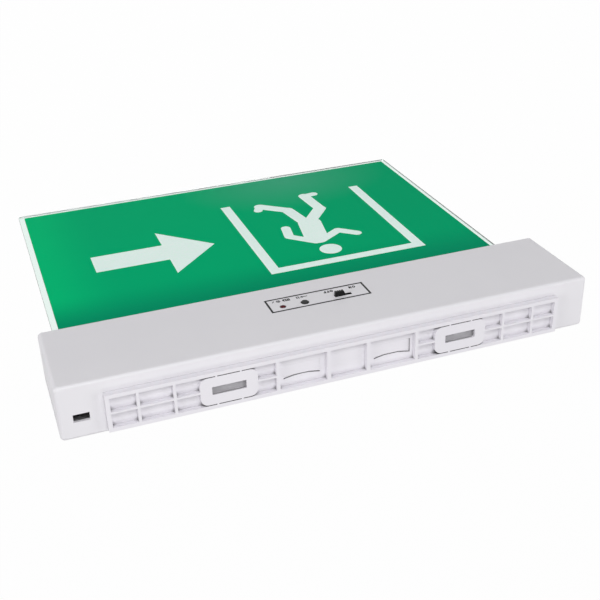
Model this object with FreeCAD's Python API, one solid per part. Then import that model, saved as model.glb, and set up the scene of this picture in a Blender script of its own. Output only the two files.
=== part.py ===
"""Ceiling-mounted emergency exit light: a moulded housing on a ribbed ceiling bracket, with an edge-lit
acrylic sign plate hanging below it.

Frame: +Z up, Z = 0 is the ceiling plane that the bracket's rim bears on, X runs along the housing,
-Y is the front, with the indicator, the test button and the power switch. Millimetres.
"""
import FreeCAD, Part
import math
import os

V = FreeCAD.Vector
UP = V(0, 0, 1)
FRONT, BACK = V(0, -1, 0), V(0, 1, 0)
RIGHT = V(1, 0, 0)

# ---------------------------------------------------------------- housing
HOUSING_LENGTH = 355.0
HOUSING_DEPTH = 37.0
HOUSING_HEIGHT = 69.3
WALL = 2.0
EDGE_R = 2.8             # upright corners
TOP_R = 2.2              # edges of the ceiling face
INNER_R = 0.8            # upright corners inside
BOTTOM_BEVEL = 0.6
RIB = 1.5                # webs that tie posts and bosses to the walls
POST = 6.0               # side of a square screw post
PILOT_R = 1.15           # hole that a 3 mm screw cuts its thread in
SMALL_PILOT_R = 0.9      # the same for a 2.4 mm screw

# ---------------------------------------------------------------- ceiling bracket
BRACKET_LENGTH = 303.4
BRACKET_WIDTH = 25.6
BRACKET_HEIGHT = 4.5
BRACKET_X = -1.9         # the bracket sits a little to one side on the housing
BRACKET_Y = 3.25         # and towards the rear
BRACKET_FLOOR = 1.0
RIM = 2.6
INNER_SHIFT = -0.9       # pads, leaves and inner ribs sit off the bracket's own middle
OUTER_RIBS = ((132.6, 1.8), (110.6, 1.8))     # offset either side, thickness
INNER_RIBS = ((46.9, 2.2), (13.4, 2.6))
LONG_RIB = 1.4
BOSS_OFFSET = 78.1       # screw boss, either side of the middle
BOSS_LENGTH, BOSS_R = 36.4, 5.0
BOSS_GAP = 0.6           # slit between a boss and the rim
BRIDGE_OFFSET, BRIDGE = 7.7, 1.2
SLOT_LENGTH, SLOT_WIDTH = 21.6, 5.6
HEAD_LENGTH, HEAD_WIDTH, HEAD_DEPTH = 28.0, 11.0, 2.6   # room for the ceiling screw's head
LEAF_OFFSET, LEAF_WIDTH = 30.5, 24.0
LEAF_NEAR, LEAF_FAR = 4.4, -4.6       # ends of the curved slit, and the leaf's root, from the middle
LEAF_RISE = 1.4
LEAF_THIN = 0.25         # the leaf is this much thinner than the floor
SLIT, SIDE_SLIT = 0.8, 1.2
HOOK_OFFSET, HOOK_WIDTH, HOOK_LEG, HOOK_TOE = 121.5, 10.0, 2.0, 1.6
CATCH_WIDTH, CATCH_LEG, CATCH_TOE = 8.0, 1.8, 0.9
HOOK_Y, CATCH_Y = -7.0, 1.5           # from the bracket's middle
HOOK_CLEAR = 0.3

# ---------------------------------------------------------------- cable entry and end notches
ENTRY_X, ENTRY_Y = 163.8, 4.25
ENTRY_LENGTH, ENTRY_WIDTH = 9.8, 5.3
NOTCH_WIDTH, NOTCH_HEIGHT = 3.0, 1.4   # for a blade that prises the cover off

# ---------------------------------------------------------------- sign plate, legends, holder
PLATE_WIDTH = 333.0
PLATE_DROP = 235.7       # what shows below the housing
PLATE_THICK = 3.0
PLATE_R = 1.5
LEGEND_THICK = 0.25
LEGEND_SIDE, LEGEND_END = 4.3, 5.3    # clear margins beside and below the print
LEGEND_TUCK = 1.5        # how far the print runs up into the housing
HOLDER_WALL = 1.6
HOLDER_HEIGHT = 19.0
HOLDER_WIDTH = 9.2
HOLDER_END = 2.0         # holder past the plate at each end
LED_BAY_WIDTH, LED_BAY_HEIGHT = 6.4, 2.9
HOLDER_FIT = 0.1         # plate to jaw, each side
LUG, LUG_THICK = 8.0, 3.0
HOLDER_HEAD_R, HEAD_CLEAR = 2.7, 0.3
LUG_CLEAR = 0.3          # lug to end wall
PLATE_SCREW_X, PLATE_SCREW_DROP = 120.0, 7.0
LED_BOARD_THICK, LED_BOARD_WIDTH = 1.2, 5.8
LED_COUNT, LED_PITCH = 24, 13.5
LED_SIZE = (3.5, 2.8, 0.8)
LED_GAP = 1.1            # from the emitters to the plate's edge

# ---------------------------------------------------------------- bottom cover
COVER_THICK = 2.0
COVER_CLEAR = 0.3
COVER_LIP, COVER_LIP_HEIGHT = 1.2, 1.6
SLOT_CLEAR = 0.5         # round the plate and its legends
COVER_SCREW_X, COVER_SCREW_Y = 150.0, 13.2
COVER_BOSS_HEIGHT = 14.0
HOLDER_ABOVE_COVER = 2.3

# ---------------------------------------------------------------- controls
CONTROLS_DROP = 41.1     # below the ceiling face
LAMP_X, BUTTON_X = 24.3, 9.2
LAMP_R, LAMP_CLEAR, LAMP_PROUD, LAMP_DOME = 1.95, 0.2, 0.9, 0.7
BUTTON_R, BUTTON_CLEAR, BUTTON_PROUD, BUTTON_TRAVEL = 2.55, 0.3, 0.6, 0.8
BUTTON_FLANGE_R, BUTTON_FLANGE = 3.6, 1.0
BUTTON_STEM_R = 1.6
BUTTON_BEVEL = 0.35
KNOB_X = -15.6           # knob's middle when switched off
KNOB_LENGTH, KNOB_WIDTH, KNOB_PROUD = 7.4, 2.3, 3.3
KNOB_TIP = 5.9           # the side that the knob slides towards is sloped, down to this length
KNOB_TRAVEL, KNOB_CLEAR = 4.0, 0.3
KNOB_FOOT = (9.0, 4.0, 1.2)
BOARD_THICK = 1.6
CONTROL_BOARD = (72.0, 19.0)
CONTROL_BOARD_X = -1.0
CONTROL_BOARD_GAP = 7.2  # from the front wall's inner face
CONTROL_SCREW_X, CONTROL_SCREW_Z = 31.0, 5.5
SWITCH_CAN = (17.0, 6.4, 5.4)
PRESS_BODY = (6.4, 6.4, 3.6)

# ---------------------------------------------------------------- battery and driver
CELL_R, CELL_LENGTH, CELL_COUNT = 7.2, 49.5, 3
BATTERY_X, BATTERY_DROP = -90.0, 20.0
BATTERY_FROM_REAR = 9.0  # cell axis to the rear wall's inner face
CLIP_WIDTH, CLIP_THICK, CLIP_FIT, CLIP_OFFSET = 8.0, 1.4, 0.1, 45.0
DRIVER_BOARD = (132.0, 33.0)
DRIVER_X, DRIVER_DROP = 80.0, 26.5
DRIVER_GAP = 3.0         # bosses behind the driver board
DRIVER_SCREW_X, DRIVER_SCREW_Z = 61.0, 12.0
TERMINAL_X = 58.0        # from the driver board's middle
TERMINAL_WAYS, TERMINAL_PITCH = 3, 5.0
LEAD_WIDTH, LEAD_THICK, LEAD_CLEAR = 2.4, 1.0, 0.3
LEAD_INSET = 6.0         # from the driver board's end to the battery's lead
LAMP_LEAD_X = 21.0
CONTROL_LEAD_X = 26.0


def box(x0, x1, y0, y1, z0, z1):
    return Part.makeBox(x1 - x0, y1 - y0, z1 - z0, V(x0, y0, z0))


def block(size, middle):
    """A box of that size about its middle."""
    x, y, z = (s / 2 for s in size)
    return box(middle.x - x, middle.x + x, middle.y - y, middle.y + y, middle.z - z, middle.z + z)


def rod(radius, start, direction, length):
    return Part.makeCylinder(radius, length, start, direction)


def rounded_plan(length, width, radius, x, y, z0, z1):
    """An upright prism with a rounded rectangle for its plan."""
    a, b = length / 2, width / 2
    k = radius * (1 - math.sqrt(0.5))
    right, left, back, front = x + a, x - a, y + b, y - b
    edges = [
        Part.LineSegment(V(left + radius, front, z0), V(right - radius, front, z0)),
        Part.Arc(V(right - radius, front, z0), V(right - k, front + k, z0), V(right, front + radius, z0)),
        Part.LineSegment(V(right, front + radius, z0), V(right, back - radius, z0)),
        Part.Arc(V(right, back - radius, z0), V(right - k, back - k, z0), V(right - radius, back, z0)),
        Part.LineSegment(V(right - radius, back, z0), V(left + radius, back, z0)),
        Part.Arc(V(left + radius, back, z0), V(left + k, back - k, z0), V(left, back - radius, z0)),
        Part.LineSegment(V(left, back - radius, z0), V(left, front + radius, z0)),
        Part.Arc(V(left, front + radius, z0), V(left + k, front + k, z0), V(left + radius, front, z0)),
    ]
    wire = Part.Wire([e.toShape() for e in edges])
    return Part.Face(wire).extrude(V(0, 0, z1 - z0))


def edges_at(shape, z):
    """The edges that lie wholly in the plane at that height."""
    return [e for e in shape.Edges if abs(e.BoundBox.ZMin - z) < 1e-4 and abs(e.BoundBox.ZMax - z) < 1e-4]


def fuse(first, *others):
    return first.multiFuse(list(others)).removeSplitter() if others else first


def cut(first, *others):
    return first.cut(list(others))


def cheese_screw(seat, direction, length, radius, head_r, head_h):
    """A cheese-head screw. The head's flat underside lies on seat and the shank runs along direction."""
    return fuse(rod(head_r, seat - direction * head_h, direction, head_h), rod(radius, seat, direction, length))


def flat_screw(face, direction, length, radius, head_r):
    """A countersunk screw whose head is flush with face."""
    cone = Part.makeCone(head_r, radius, head_r - radius, face, direction)
    return fuse(cone, rod(radius, face, direction, length))


# ---------------------------------------------------------------- levels and places worked out from these
HOUSING_TOP = -BRACKET_HEIGHT
HOUSING_BOTTOM = HOUSING_TOP - HOUSING_HEIGHT
ROOF = HOUSING_TOP - WALL                      # underside of the housing's top wall
FRONT_FACE = -HOUSING_DEPTH / 2
FRONT_IN = FRONT_FACE + WALL
REAR_IN = -FRONT_IN
END_IN = HOUSING_LENGTH / 2 - WALL
COVER_TOP = HOUSING_BOTTOM + COVER_THICK
HOLDER_BOTTOM = COVER_TOP + HOLDER_ABOVE_COVER
HOLDER_TOP = HOLDER_BOTTOM + HOLDER_HEIGHT
LED_BOARD_TOP = HOLDER_TOP - HOLDER_WALL
LED_FACE = LED_BOARD_TOP - LED_BOARD_THICK - LED_SIZE[2]
PLATE_TOP = LED_FACE - LED_GAP
PLATE_BOTTOM = HOUSING_BOTTOM - PLATE_DROP
HOLDER_LENGTH = PLATE_WIDTH + 2 * HOLDER_END
LUG_X = END_IN - LUG / 2 - LUG_CLEAR
CONTROLS_Z = HOUSING_TOP - CONTROLS_DROP
KNOB_SLOT = KNOB_WIDTH + 2 * KNOB_CLEAR
CONTROL_BOARD_FRONT = FRONT_IN + CONTROL_BOARD_GAP
DRIVER_REAR = REAR_IN - DRIVER_GAP
DRIVER_FRONT = DRIVER_REAR - BOARD_THICK
BATTERY_Y = REAR_IN - BATTERY_FROM_REAR
BATTERY_Z = HOUSING_TOP - BATTERY_DROP
BATTERY_LENGTH = CELL_LENGTH * CELL_COUNT
DRIVER_Z = HOUSING_TOP - DRIVER_DROP
SIDES = (-1, 1)


# ---------------------------------------------------------------- the ceiling bracket
def inner_x(side, offset):
    """Where a pad, a leaf or an inner rib stands, from the bracket's middle."""
    return side * offset + INNER_SHIFT


def bracket_box(x0, x1, y0, y1, z0, z1):
    return box(BRACKET_X + x0, BRACKET_X + x1, BRACKET_Y + y0, BRACKET_Y + y1, z0, z1)


def screw_boss(side):
    """A pad level with the rim, joined to it by four small bridges and hollow underneath for the head."""
    x = inner_x(side, BOSS_OFFSET)
    inner = BRACKET_WIDTH / 2 - RIM
    pad = rounded_plan(BOSS_LENGTH, 2 * (inner - BOSS_GAP), BOSS_R,
                       BRACKET_X + x, BRACKET_Y, HOUSING_TOP, 0)
    bridges = [bracket_box(x + s * BRIDGE_OFFSET - BRIDGE / 2, x + s * BRIDGE_OFFSET + BRIDGE / 2,
                           -inner - 0.1, inner + 0.1, HOUSING_TOP, 0) for s in SIDES]
    return pad, bridges


def screw_slot(side):
    x = inner_x(side, BOSS_OFFSET)
    slot = bracket_box(x - SLOT_LENGTH / 2, x + SLOT_LENGTH / 2, -SLOT_WIDTH / 2, SLOT_WIDTH / 2,
                       HOUSING_TOP - 1, 1)
    head = bracket_box(x - HEAD_LENGTH / 2, x + HEAD_LENGTH / 2, -HEAD_WIDTH / 2, HEAD_WIDTH / 2,
                       HOUSING_TOP - 1, HOUSING_TOP + HEAD_DEPTH)
    return fuse(slot, head)


def arc_band(x, y_end, rise, width, thick, z0, z1):
    """A curved slit: two arcs a slit's thickness apart, bulging towards the front."""
    a = width / 2
    outer = Part.Arc(V(x - a, y_end, z0), V(x, y_end - rise, z0), V(x + a, y_end, z0))
    inner = Part.Arc(V(x + a, y_end + thick, z0), V(x, y_end - rise + thick, z0), V(x - a, y_end + thick, z0))
    sides = [Part.LineSegment(V(x + a, y_end, z0), V(x + a, y_end + thick, z0)),
             Part.LineSegment(V(x - a, y_end + thick, z0), V(x - a, y_end, z0))]
    wire = Part.Wire([outer.toShape(), sides[0].toShape(), inner.toShape(), sides[1].toShape()])
    return Part.Face(wire).extrude(V(0, 0, z1 - z0))


def leaf_cuts(side):
    """What frees a latch leaf from the floor: a curved slit and a thinner leaf. One has a side slit too."""
    x = inner_x(side, LEAF_OFFSET)
    low, high = HOUSING_TOP - 1, HOUSING_TOP + BRACKET_FLOOR + 1
    curved = arc_band(BRACKET_X + x, BRACKET_Y + LEAF_NEAR, LEAF_RISE, LEAF_WIDTH, SLIT, low, high)
    thin = bracket_box(x - LEAF_WIDTH / 2, x + LEAF_WIDTH / 2, LEAF_FAR, LEAF_NEAR - LEAF_RISE + SLIT / 2,
                       HOUSING_TOP + BRACKET_FLOOR - LEAF_THIN, high)
    edge = x - LEAF_WIDTH / 2
    upright = bracket_box(edge - SIDE_SLIT, edge, LEAF_FAR, LEAF_NEAR + SLIT, low, high)
    return [curved, thin] + ([upright] if side < 0 else [])


def hook(side):
    """A fixed L-shaped hook under the floor: its toe reaches under the housing's roof, to the front."""
    x, z_toe = side * HOOK_OFFSET, ROOF - HOOK_CLEAR
    leg = bracket_box(x - HOOK_WIDTH / 2, x + HOOK_WIDTH / 2, HOOK_Y, HOOK_Y + HOOK_LEG,
                      z_toe - HOOK_TOE, HOUSING_TOP + BRACKET_FLOOR)
    toe = bracket_box(x - HOOK_WIDTH / 2, x + HOOK_WIDTH / 2, HOOK_Y - HOOK_TOE, HOOK_Y,
                      z_toe - HOOK_TOE, z_toe)
    return [leg, toe]


def catch(side):
    """The leaf's snap catch: a leg with a small barb that grips under the housing's roof, to the rear."""
    x, z_toe = inner_x(side, LEAF_OFFSET), ROOF - HOOK_CLEAR
    leg = bracket_box(x - CATCH_WIDTH / 2, x + CATCH_WIDTH / 2, CATCH_Y, CATCH_Y + CATCH_LEG,
                      z_toe - 2 * CATCH_TOE, HOUSING_TOP + BRACKET_FLOOR - LEAF_THIN)
    y = BRACKET_Y + CATCH_Y + CATCH_LEG
    barb = Part.Face(Part.makePolygon([
        V(0, y, z_toe), V(0, y + CATCH_TOE, z_toe), V(0, y, z_toe - 2 * CATCH_TOE), V(0, y, z_toe)]))
    barb.translate(V(BRACKET_X + x - CATCH_WIDTH / 2, 0, 0))
    return [leg, barb.extrude(RIGHT * CATCH_WIDTH)]


def mounting_bracket():
    a, b = BRACKET_LENGTH / 2, BRACKET_WIDTH / 2
    tray = bracket_box(-a, a, -b, b, HOUSING_TOP, 0)
    tray = cut(tray, bracket_box(-a + RIM, a - RIM, -b + RIM, b - RIM, HOUSING_TOP + BRACKET_FLOOR, 1))
    added = []
    for side in SIDES:
        ribs = [(side * offset, thick) for offset, thick in OUTER_RIBS]
        ribs += [(inner_x(side, offset), thick) for offset, thick in INNER_RIBS]
        for x, thick in ribs:
            added.append(bracket_box(x - thick / 2, x + thick / 2, -b + 1, b - 1, HOUSING_TOP, 0))
        first, last = sorted((side * (a - 1), inner_x(side, INNER_RIBS[0][0])))
        added.append(bracket_box(first, last, -LONG_RIB / 2, LONG_RIB / 2, HOUSING_TOP, 0))
        x = inner_x(side, BOSS_OFFSET)
        inner = b - RIM
        tray = cut(tray, bracket_box(x - BOSS_LENGTH / 2 + BOSS_R, x + BOSS_LENGTH / 2 - BOSS_R,
                                     -inner, inner, HOUSING_TOP - 1, 1))
        pad, bridges = screw_boss(side)
        added += [pad] + bridges
        added += hook(side)
    body = fuse(tray, *added)
    cuts = [screw_slot(side) for side in SIDES] + [c for side in SIDES for c in leaf_cuts(side)]
    body = cut(body, *cuts)
    return fuse(body, *[piece for side in SIDES for piece in catch(side)])


# ---------------------------------------------------------------- the housing
def housing_shell():
    outer = rounded_plan(HOUSING_LENGTH, HOUSING_DEPTH, EDGE_R, 0, 0, HOUSING_BOTTOM, HOUSING_TOP)
    outer = outer.makeFillet(TOP_R, edges_at(outer, HOUSING_TOP))
    outer = outer.makeChamfer(BOTTOM_BEVEL, edges_at(outer, HOUSING_BOTTOM))
    inner = rounded_plan(HOUSING_LENGTH - 2 * WALL, HOUSING_DEPTH - 2 * WALL, INNER_R, 0, 0,
                         HOUSING_BOTTOM - 1, ROOF)
    return cut(outer, inner)


def post(x, y, z0, z1, web_to):
    """A square screw post with a web to the wall it stands beside."""
    a = POST / 2
    pillar = box(x - a, x + a, y - a, y + a, z0, z1)
    wx, wy = web_to
    if wy:
        web = box(x - RIB / 2, x + RIB / 2, min(y, wy), max(y, wy), z0, z1)
    else:
        web = box(min(x, wx), max(x, wx), y - RIB / 2, y + RIB / 2, z0, z1)
    return fuse(pillar, web)


def holder_posts():
    """Where the plate holder hangs: one post at each end."""
    return [(s * LUG_X, 0.0, (s * (END_IN + 0.5), None)) for s in SIDES]


def cover_posts():
    return [(sx * COVER_SCREW_X, sy * COVER_SCREW_Y, sy) for sx in SIDES for sy in SIDES]


def driver_screws_at():
    return [(DRIVER_X + s * DRIVER_SCREW_X, DRIVER_Z + s * DRIVER_SCREW_Z) for s in SIDES]


def control_screws_at():
    return [(CONTROL_BOARD_X + s * CONTROL_SCREW_X, CONTROLS_Z + s * CONTROL_SCREW_Z) for s in SIDES]


def roof_window(x, y0, y1, width):
    return box(x - width / 2 - HOOK_CLEAR, x + width / 2 + HOOK_CLEAR, y0 - HOOK_CLEAR, y1 + HOOK_CLEAR,
               ROOF - 1, HOUSING_TOP + 1)


def housing():
    adds, cuts, a = [], [], POST / 2
    for x, y, web in holder_posts():
        adds.append(post(x, y, HOLDER_TOP, ROOF + 0.5, web))
        cuts.append(rod(PILOT_R, V(x, y, HOLDER_TOP - 1), UP, 15))
    for x, y, sy in cover_posts():
        adds.append(post(x, y, COVER_TOP, COVER_TOP + COVER_BOSS_HEIGHT, (None, sy * (REAR_IN + 0.5))))
        cuts.append(rod(PILOT_R, V(x, y, COVER_TOP - 1), UP, COVER_BOSS_HEIGHT))
    for x, z in driver_screws_at():
        adds.append(box(x - a, x + a, DRIVER_REAR, REAR_IN + 0.5, z - a, z + a))
        cuts.append(rod(SMALL_PILOT_R, V(x, DRIVER_REAR - 1, z), BACK, DRIVER_GAP + 1.6))
    for x, z in control_screws_at():
        adds.append(box(x - a, x + a, FRONT_IN - 0.5, CONTROL_BOARD_FRONT, z - a, z + a))
        cuts.append(rod(SMALL_PILOT_R, V(x, CONTROL_BOARD_FRONT + 1, z), FRONT, CONTROL_BOARD_GAP + 1))
    for side in SIDES:
        x = BRACKET_X + side * HOOK_OFFSET
        cuts.append(roof_window(x, BRACKET_Y + HOOK_Y - HOOK_TOE, BRACKET_Y + HOOK_Y + HOOK_LEG, HOOK_WIDTH))
        x = BRACKET_X + inner_x(side, LEAF_OFFSET)
        cuts.append(roof_window(x, BRACKET_Y + CATCH_Y, BRACKET_Y + CATCH_Y + CATCH_LEG, CATCH_WIDTH))
        near, far = sorted((side * (END_IN - 0.1), side * (HOUSING_LENGTH / 2 + 1)))
        cuts.append(box(near, far, -NOTCH_WIDTH / 2, NOTCH_WIDTH / 2,
                        HOUSING_BOTTOM - 1, HOUSING_BOTTOM + NOTCH_HEIGHT))
    cuts.append(box(ENTRY_X - ENTRY_LENGTH / 2, ENTRY_X + ENTRY_LENGTH / 2,
                    ENTRY_Y - ENTRY_WIDTH / 2, ENTRY_Y + ENTRY_WIDTH / 2, ROOF - 1, HOUSING_TOP + 1))
    cuts.append(rod(LAMP_R + LAMP_CLEAR, V(LAMP_X, FRONT_FACE - 1, CONTROLS_Z), BACK, WALL + 2))
    cuts.append(rod(BUTTON_R + BUTTON_CLEAR, V(BUTTON_X, FRONT_FACE - 1, CONTROLS_Z), BACK, WALL + 2))
    half = KNOB_LENGTH / 2 + KNOB_CLEAR
    cuts.append(box(KNOB_X - KNOB_TRAVEL - half, KNOB_X + half, FRONT_FACE - 1, FRONT_IN + 1,
                    CONTROLS_Z - KNOB_SLOT / 2, CONTROLS_Z + KNOB_SLOT / 2))
    return cut(fuse(housing_shell(), *adds), *cuts)


def bottom_cover():
    """The closing plate: flush in the housing's mouth, with a lipped slot that the sign plate passes."""
    length = HOUSING_LENGTH - 2 * (WALL + COVER_CLEAR)
    width = HOUSING_DEPTH - 2 * (WALL + COVER_CLEAR)
    plate = rounded_plan(length, width, INNER_R - COVER_CLEAR, 0, 0, HOUSING_BOTTOM, COVER_TOP)
    slot_x = PLATE_WIDTH / 2 + SLOT_CLEAR
    slot_y = PLATE_THICK / 2 + LEGEND_THICK + SLOT_CLEAR
    lip = box(-slot_x - COVER_LIP, slot_x + COVER_LIP, -slot_y - COVER_LIP, slot_y + COVER_LIP,
              HOUSING_BOTTOM, COVER_TOP + COVER_LIP_HEIGHT)
    slot = box(-slot_x, slot_x, -slot_y, slot_y, HOUSING_BOTTOM - 1, COVER_TOP + COVER_LIP_HEIGHT + 1)
    holes = []
    for x, y, _ in cover_posts():
        holes.append(Part.makeCone(3.1, 1.6, COVER_THICK, V(x, y, HOUSING_BOTTOM), UP))
    return cut(fuse(plate, lip), slot, *holes)


# ---------------------------------------------------------------- the sign plate and what holds it
def sign_plate():
    a = PLATE_WIDTH / 2
    z0, z1, r = PLATE_BOTTOM, PLATE_TOP, PLATE_R
    k = r * (1 - math.sqrt(0.5))
    y = -PLATE_THICK / 2
    edges = [
        Part.LineSegment(V(-a + r, y, z0), V(a - r, y, z0)),
        Part.Arc(V(a - r, y, z0), V(a - k, y, z0 + k), V(a, y, z0 + r)),
        Part.LineSegment(V(a, y, z0 + r), V(a, y, z1)),
        Part.LineSegment(V(a, y, z1), V(-a, y, z1)),
        Part.LineSegment(V(-a, y, z1), V(-a, y, z0 + r)),
        Part.Arc(V(-a, y, z0 + r), V(-a + k, y, z0 + k), V(-a + r, y, z0)),
    ]
    plate = Part.Face(Part.Wire([e.toShape() for e in edges])).extrude(V(0, PLATE_THICK, 0))
    holes = [rod(1.7, V(x, -PLATE_THICK, PLATE_TOP - PLATE_SCREW_DROP), BACK, 2 * PLATE_THICK)
             for x in (-PLATE_SCREW_X, PLATE_SCREW_X)]
    return cut(plate, *holes)


def legend(side):
    """The printed film on one face of the plate; side is -1 for the front face and 1 for the rear."""
    a = PLATE_WIDTH / 2 - LEGEND_SIDE
    y0, y1 = sorted((side * PLATE_THICK / 2, side * (PLATE_THICK / 2 + LEGEND_THICK)))
    return box(-a, a, y0, y1, PLATE_BOTTOM + LEGEND_END, HOUSING_BOTTOM + LEGEND_TUCK)


def plate_holder():
    """A long moulding: a bay for the emitters above two jaws that hold the plate's top edge."""
    a, w = HOLDER_LENGTH / 2, HOLDER_WIDTH / 2
    bar = box(-a, a, -w, w, HOLDER_BOTTOM, HOLDER_TOP)
    bay = box(-a + 1, a - 1, -LED_BAY_WIDTH / 2, LED_BAY_WIDTH / 2,
              LED_BOARD_TOP - LED_BAY_HEIGHT, LED_BOARD_TOP)
    jaw = PLATE_THICK / 2 + HOLDER_FIT
    reach = PLATE_WIDTH / 2 + HOLDER_FIT
    throat = box(-reach, reach, -jaw, jaw, HOLDER_BOTTOM - 1, LED_BOARD_TOP - LED_BAY_HEIGHT + 0.1)
    adds, cuts = [], [bay, throat]
    for s in SIDES:
        adds.append(box(min(s * (a - 1), s * (LUG_X + LUG / 2)), max(s * (a - 1), s * (LUG_X + LUG / 2)),
                        -LUG / 2, LUG / 2, HOLDER_TOP - LUG_THICK, HOLDER_TOP))
        cuts.append(rod(1.6, V(s * PLATE_SCREW_X, -w - 1, PLATE_TOP - PLATE_SCREW_DROP), BACK, HOLDER_WIDTH - 1))
        cuts.append(rod(HOLDER_HEAD_R + HEAD_CLEAR, V(s * LUG_X, 0, HOLDER_BOTTOM - 1), UP,
                        HOLDER_HEIGHT + 1 - LUG_THICK))
    for x, y, _ in holder_posts():
        cuts.append(rod(1.6, V(x, y, HOLDER_TOP - LUG_THICK - 1), UP, LUG_THICK + 2))
    cuts.append(block((LEAD_WIDTH + 2 * LEAD_CLEAR, LEAD_THICK + 2 * LEAD_CLEAR, 2 * HOLDER_WALL),
                      V(LAMP_LEAD_X, 0, HOLDER_TOP)))
    return cut(fuse(bar, *adds), *cuts)


def holder_screws():
    return [cheese_screw(V(x, y, HOLDER_TOP - LUG_THICK), UP, LUG_THICK + 8, PILOT_R, HOLDER_HEAD_R, 1.9)
            for x, y, _ in holder_posts()]


def plate_screws():
    w = HOLDER_WIDTH / 2
    return [cheese_screw(V(s * PLATE_SCREW_X, -w, PLATE_TOP - PLATE_SCREW_DROP), BACK, HOLDER_WIDTH - 2.2,
                      1.4, 2.7, 1.7) for s in SIDES]


def cover_screws():
    return [flat_screw(V(x, y, HOUSING_BOTTOM + 0.1), UP, 11.0, PILOT_R, 2.7) for x, y, _ in cover_posts()]


def led_board():
    a = LED_PITCH * LED_COUNT / 2
    return box(-a, a, -LED_BOARD_WIDTH / 2, LED_BOARD_WIDTH / 2, LED_BOARD_TOP - LED_BOARD_THICK, LED_BOARD_TOP)


def leds():
    z = LED_BOARD_TOP - LED_BOARD_THICK - LED_SIZE[2] / 2
    first = -LED_PITCH * (LED_COUNT - 1) / 2
    return [block(LED_SIZE, V(first + i * LED_PITCH, 0, z)) for i in range(LED_COUNT)]


# ---------------------------------------------------------------- controls behind the front wall
def control_board():
    x, z = CONTROL_BOARD
    board = block((x, BOARD_THICK, z), V(CONTROL_BOARD_X, CONTROL_BOARD_FRONT + BOARD_THICK / 2, CONTROLS_Z))
    holes = [rod(1.3, V(hx, CONTROL_BOARD_FRONT - 1, hz), BACK, BOARD_THICK + 2) for hx, hz in control_screws_at()]
    return cut(board, *holes)


def control_screws():
    seat = CONTROL_BOARD_FRONT + BOARD_THICK
    return [cheese_screw(V(x, seat, z), FRONT, BOARD_THICK + 5, SMALL_PILOT_R, 2.2, 1.4)
            for x, z in control_screws_at()]


def power_lamp():
    """A small indicator: lens with a bevelled nose, flange and two legs to the board."""
    tip = FRONT_FACE - LAMP_PROUD
    lens = rod(LAMP_R, V(LAMP_X, tip + LAMP_DOME, CONTROLS_Z), BACK, 4.6)
    dome = Part.makeCone(LAMP_R - LAMP_DOME, LAMP_R, LAMP_DOME, V(LAMP_X, tip, CONTROLS_Z), BACK)
    flange_y = tip + LAMP_DOME + 4.6
    flange = rod(LAMP_R + 0.4, V(LAMP_X, flange_y - 1.0, CONTROLS_Z), BACK, 1.0)
    legs = [box(LAMP_X + s * 1.27 - 0.25, LAMP_X + s * 1.27 + 0.25, flange_y - 0.2, CONTROL_BOARD_FRONT,
                CONTROLS_Z - 0.25, CONTROLS_Z + 0.25) for s in SIDES]
    return fuse(lens, dome, flange, *legs)


def test_button():
    """A round push button: a cap through the wall, a flange that keeps it in and a stem to the switch."""
    tip = FRONT_FACE - BUTTON_PROUD
    crown = Part.makeCone(BUTTON_R - BUTTON_BEVEL, BUTTON_R, BUTTON_BEVEL, V(BUTTON_X, tip, CONTROLS_Z), BACK)
    cap = rod(BUTTON_R, V(BUTTON_X, tip + BUTTON_BEVEL, CONTROLS_Z), BACK,
              BUTTON_PROUD + WALL + 0.3 - BUTTON_BEVEL)
    flange = rod(BUTTON_FLANGE_R, V(BUTTON_X, FRONT_IN + 0.15, CONTROLS_Z), BACK, BUTTON_FLANGE)
    stem_end = CONTROL_BOARD_FRONT - PRESS_BODY[2] + 1.0
    stem = rod(BUTTON_STEM_R, V(BUTTON_X, FRONT_IN, CONTROLS_Z), BACK, stem_end - FRONT_IN)
    return fuse(crown, cap, flange, stem)


def test_switch():
    """The press switch on the board that the button's stem works in."""
    x, z, depth = PRESS_BODY
    body = block((x, depth, z), V(BUTTON_X, CONTROL_BOARD_FRONT - depth / 2, CONTROLS_Z))
    front = CONTROL_BOARD_FRONT - depth
    well = rod(BUTTON_STEM_R + 0.3, V(BUTTON_X, front - 1, CONTROLS_Z), BACK, 1 + 1.0 + BUTTON_TRAVEL + 0.5)
    return cut(body, well)


def power_switch():
    """The slide switch's metal can, open at the front for the knob and hollow for its foot."""
    x, z, depth = SWITCH_CAN
    middle = KNOB_X - KNOB_TRAVEL / 2
    can = block((x, depth, z), V(middle, CONTROL_BOARD_FRONT - depth / 2, CONTROLS_Z))
    front = CONTROL_BOARD_FRONT - depth
    room = KNOB_FOOT[0] / 2 + KNOB_TRAVEL / 2 + KNOB_CLEAR
    bay = box(middle - room, middle + room, front + 0.8, front + 0.8 + KNOB_FOOT[2] + 2 * KNOB_CLEAR,
              CONTROLS_Z - KNOB_FOOT[1] / 2 - KNOB_CLEAR, CONTROLS_Z + KNOB_FOOT[1] / 2 + KNOB_CLEAR)
    half = KNOB_LENGTH / 2 + KNOB_TRAVEL / 2 + KNOB_CLEAR
    mouth = box(middle - half, middle + half, front - 1, front + 1,
                CONTROLS_Z - KNOB_SLOT / 2, CONTROLS_Z + KNOB_SLOT / 2)
    return cut(can, bay, mouth)


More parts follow.
